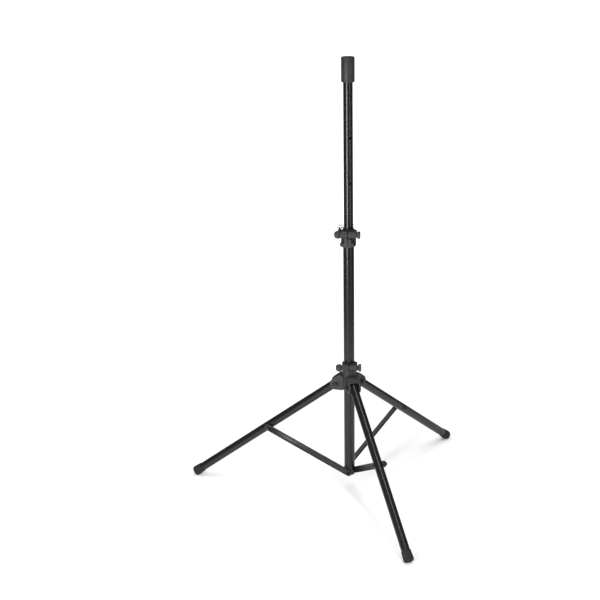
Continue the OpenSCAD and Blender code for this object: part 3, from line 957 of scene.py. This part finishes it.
CRIMP_R = 1.5 * MM
CRIMP_HALF = 2.5 * MM
CRIMP_AIM = 0.1
EYELET_BORE = 2.7 * MM
EYELET_R = 6 * MM
EYELET_THICKNESS = 1.2 * MM
EYELET_DROP = 3 * MM

# The short end to the pin's ring: how it hangs between the loop and the ring
RING_INSET = 1.5 * MM
END_ARCH = ((0.4, 4 * MM), (0.8, 3 * MM))


def lanyard():
    """A steel rope: an eyelet on the collar's bolt, a tail, a loop round the pole and the pin's end."""
    knob_at, across = joint_point("collar_knob_turn"), joint_axis("collar_knob_turn")
    ahead = Vector((knob_at.x, knob_at.y, 0)).normalized()
    bolt = Vector(node_points("collar_bolt").mean(axis=0))
    bolt_x, bolt_y = bolt.dot(ahead), span("collar_bolt", bolt, across)[0] + bolt.dot(across)
    loop_r = span("upper_tube", (0, 0, 0), (0, 0, 1))[2] + LOOP_GAP
    loop_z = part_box("lanyard")[1].z - loop_r * math.sin(LOOP_TILT) - WIRE_R * math.cos(LOOP_TILT)

    def at(x, y, z):
        return ahead * x + across * y + UP * z

    def on_loop(angle):
        level = loop_r * math.cos(angle)
        sideways = loop_r * math.sin(angle)
        return at(level * math.cos(LOOP_TILT), sideways, loop_z - level * math.sin(LOOP_TILT))

    loop_points = [on_loop(math.tau * k / LOOP_POINTS) for k in range(LOOP_POINTS)]
    loop = twisted_wire(loop_points, closed=True)
    heights = (
        bolt.z + TAIL_START_RISE,
        bolt.z + TAIL_BEND_RISE,
        (bolt.z + loop_z) / 2,
        loop_z - TAIL_END_DROP,
    )
    tail_points = [at(bolt_x + x, bolt_y + y, z) for (x, y), z in zip(TAIL, heights)]
    tail = twisted_wire([*tail_points, on_loop(LOOP_JOIN)])
    crimp = lathe(fillet([
        (0, -CRIMP_HALF, 0),
        (CRIMP_R, -CRIMP_HALF, 0.5 * MM),
        (CRIMP_R, CRIMP_HALF, 0.5 * MM),
        (0, CRIMP_HALF, 0),
    ]), turns=24)
    crimp_along = on_loop(LOOP_JOIN + CRIMP_AIM) - on_loop(LOOP_JOIN - CRIMP_AIM)
    crimp.transform(placed(on_loop(LOOP_JOIN), crimp_along, UP))
    eyelet = lathe(fillet([
        (EYELET_BORE, 0, 0.3 * MM),
        (EYELET_R, 0, 0.5 * MM),
        (EYELET_R, EYELET_THICKNESS, 0.5 * MM),
        (EYELET_BORE, EYELET_THICKNESS, 0.3 * MM),
    ]), turns=48)
    cord = node_points("lanyard")
    under_bolt = cord[cord[:, 2] < bolt.z - EYELET_DROP]
    eyelet_low = ((under_bolt - np.array(bolt)) @ np.array(across)).min()
    eyelet.transform(placed(bolt + across * eyelet_low, across, UP))
    obj = as_object("lanyard_rope", merged(loop, tail, crimp, eyelet))
    finished(obj, "root", "dark_steel", "lanyard", sharp=60)

    ring = node_points("pin_ring")
    far = Vector(ring[np.argmax(ring @ np.array(ahead))])
    start = on_loop(LOOP_PIN)
    end = far - ahead * RING_INSET
    arch = [start.lerp(end, share) + UP * rise for share, rise in END_ARCH]
    link = as_object("lanyard_end", twisted_wire([start, *arch, end]))
    finished(link, None, "dark_steel", sharp=60)
    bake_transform(link)


# ---- The pieces ----

NODE_ROUNDING = 0.3 * MM


def head_line(node_name, axis):
    """A bolt's line through the middle of its node."""
    return Vector(node_points(node_name).mean(axis=0)), axis


for side_name in SIDES:
    rubber_foot(side_name)
    bolts(
        f"brace_bolt_{side_name}", f"brace_bolt_{side_name}_socket", f"leg_{side_name}_body", "dark_steel",
        [head_line(f"brace_bolt_{side_name}", -joint_axis(f"leg_{side_name}_fold"))],
    )
    pressed_brace(side_name)
knob("collar")
knob("yoke")
nut_block("collar", "root")
nut_block("yoke", "yoke_body")
moulding("collar", "collar_moulding", "root", COLLAR_VOXEL)
moulding("yoke", "yoke_moulding", "yoke_body", YOKE_VOXEL, ear_rings)
pole_sleeve()
bolts(
    "collar_bolt", "collar_socket_bolt", "root", "dark_steel",
    [head_line("collar_bolt", -joint_axis("collar_knob_turn"))],
)
bolts(
    "leg_pivot_bolts", "leg_socket_bolts", "yoke_body", "dark_steel",
    [(joint_point(f"leg_{side}_fold"), joint_axis(f"leg_{side}_fold")) for side in SIDES],
)
bolts(
    "hub_screws", "hub_socket_screws", "root", "dark_steel",
    [(joint_point(f"brace_{side}_fold"), -joint_axis(f"brace_{side}_fold")) for side in SIDES],
)
lanyard()


for node_name, node in frame["nodes"].items():
    dress(node, SLOTS[node_name])
    if not node.hide_render:
        round_edges(node, NODE_ROUNDING, SHARP_ANGLE)
        shade_smooth(node, SHARP_ANGLE)


# ---- Stage, light and camera ----

FLOOR_SIZE = 60
PALE = 0.94
PALEST = 0.96

# What the tubes see of the floor: its two greys, and the distances between which it turns dark
REFLECTED_NEAR = 0.75
REFLECTED_FAR = 0.1
REFLECTED_FLOOR = (1.3, 1.8)

# The floor glows white far out, where the lamps don't reach: its strength and where it sets in
FAR_GLOW = 0.6
GLOW_REACH = (0.4, 3.0)

# The world's strength as soft light, and as seen in reflections
SOFT_LIGHT = 0.79
REFLECTED_ROOM = 0.1

# The photograph's viewpoint, in degrees, metres and millimetres of lens
CAMERA_TURN = -18.95
CAMERA_DISTANCE = 3.56
CAMERA_HEIGHT = 1.752
CAMERA_PITCH = 17.81
CAMERA_YAW = -2.31
CAMERA_ROLL = -0.96
CAMERA_LENS = 76.31

# Strip lights: name, turn from the camera and rise in degrees, distance and size, watts, aim
LIGHTS = (
    ("key", -30, 0, 1.55, (0.18, 0.95), 18, (0, 0, 0.78)),
    ("fill", 45, 0, 1.55, (0.18, 0.95), 3.4, (0, 0, 0.78)),
    ("top", 0, 90, 4.0, (0.25, 3.4), 58, (0, -0.4, 0.6)),
)


def floor():
    """A pale floor, lit white far out, that reflects in the tubes only near the stand."""
    mesh = bpy.data.meshes.new("floor")
    half = FLOOR_SIZE / 2
    square = [(-half, -half, 0), (half, -half, 0), (half, half, 0), (-half, half, 0)]
    mesh.from_pydata(square, [], [(0, 1, 2, 3)])
    obj = bpy.data.objects.new("floor", mesh)
    collection.objects.link(obj)
    n = Nodes("floor")
    pale = n.ramp(n.noise(FLOOR_DRIFT), (PALE,) * 3, (PALEST,) * 3)
    distance = n.add("ShaderNodeVectorMath", operation="LENGTH")
    n.link(n.place, distance.inputs[0])
    reach = distance.outputs["Value"]
    out = n.range(reach, 0, 1, *REFLECTED_FLOOR)
    seen = n.ramp(out, (REFLECTED_NEAR,) * 3, (REFLECTED_FAR,) * 3, start=0, end=1)
    rays = n.add("ShaderNodeLightPath").outputs
    n.set(Base_Color=n.mix(rays["Is Glossy Ray"], pale, seen), Roughness=0.9, Specular_IOR_Level=0.1)
    fade = n.add("ShaderNodeMath", operation="MULTIPLY")
    n.link(n.range(reach, 0, FAR_GLOW, *GLOW_REACH), fade.inputs[0])
    n.link(rays["Is Camera Ray"], fade.inputs[1])
    n.set(Emission_Color=(1, 1, 1, 1), Emission_Strength=fade.outputs["Value"])
    mesh.materials.append(n.material)


def world():
    """White to the camera, soft light, and a dark room in reflections, so that tube edges stay dark."""
    background = bpy.data.worlds.new("studio")
    background.use_nodes = True
    tree = background.node_tree
    path = tree.nodes.new("ShaderNodeLightPath")
    room = tree.nodes.new("ShaderNodeMix")
    room.inputs["A"].default_value = SOFT_LIGHT
    room.inputs["B"].default_value = REFLECTED_ROOM
    backdrop = tree.nodes.new("ShaderNodeMix")
    backdrop.inputs["B"].default_value = 1
    tree.links.new(path.outputs["Is Glossy Ray"], room.inputs["Factor"])
    tree.links.new(path.outputs["Is Camera Ray"], backdrop.inputs["Factor"])
    tree.links.new(room.outputs["Result"], backdrop.inputs["A"])
    tree.nodes["Background"].inputs["Color"].default_value = (1, 1, 1, 1)
    tree.links.new(backdrop.outputs["Result"], tree.nodes["Background"].inputs["Strength"])
    scene.world = background


def softbox(name, turn, rise, distance, size, power, target):
    """An area light at an angle from the camera's direction, aimed at the stand."""
    around = math.radians(CAMERA_TURN + turn)
    level = math.cos(math.radians(rise)) * distance
    height = math.sin(math.radians(rise)) * distance
    target = Vector(target)
    place = target + Vector((math.sin(around) * level, -math.cos(around) * level, height))
    light = bpy.data.lights.new(name, "AREA")
    light.shape = "RECTANGLE"
    light.size, light.size_y = size
    light.energy = power
    obj = bpy.data.objects.new(name, light)
    aim = (target - place).to_track_quat("-Z", "Y").to_matrix().to_4x4()
    obj.matrix_world = Matrix.Translation(place) @ aim
    collection.objects.link(obj)


def camera():
    """The photograph's angle: turned round the mast, pitched down, with a slight yaw and roll."""
    turn = Matrix.Rotation(math.radians(CAMERA_TURN), 3, "Z")
    pitch, yaw, roll = (math.radians(v) for v in (CAMERA_PITCH, CAMERA_YAW, CAMERA_ROLL))
    level = math.cos(pitch)
    ahead = Vector((math.sin(yaw) * level, math.cos(yaw) * level, -math.sin(pitch)))
    right = Vector((math.cos(yaw), -math.sin(yaw), 0))
    above = right.cross(ahead)
    tilted_right = math.cos(roll) * right + math.sin(roll) * above
    tilted_above = -math.sin(roll) * right + math.cos(roll) * above
    axes = Matrix((turn @ tilted_right, turn @ tilted_above, -(turn @ ahead))).transposed()
    place = turn @ Vector((0, -CAMERA_DISTANCE, 0)) + UP * CAMERA_HEIGHT
    data = bpy.data.cameras.new("camera")
    data.lens = CAMERA_LENS
    obj = bpy.data.objects.new("camera", data)
    obj.matrix_world = Matrix.Translation(place) @ axes.to_4x4()
    collection.objects.link(obj)
    scene.camera = obj


floor()
world()
for light_values in LIGHTS:
    softbox(*light_values)
camera()
scene.view_settings.view_transform = "Standard"
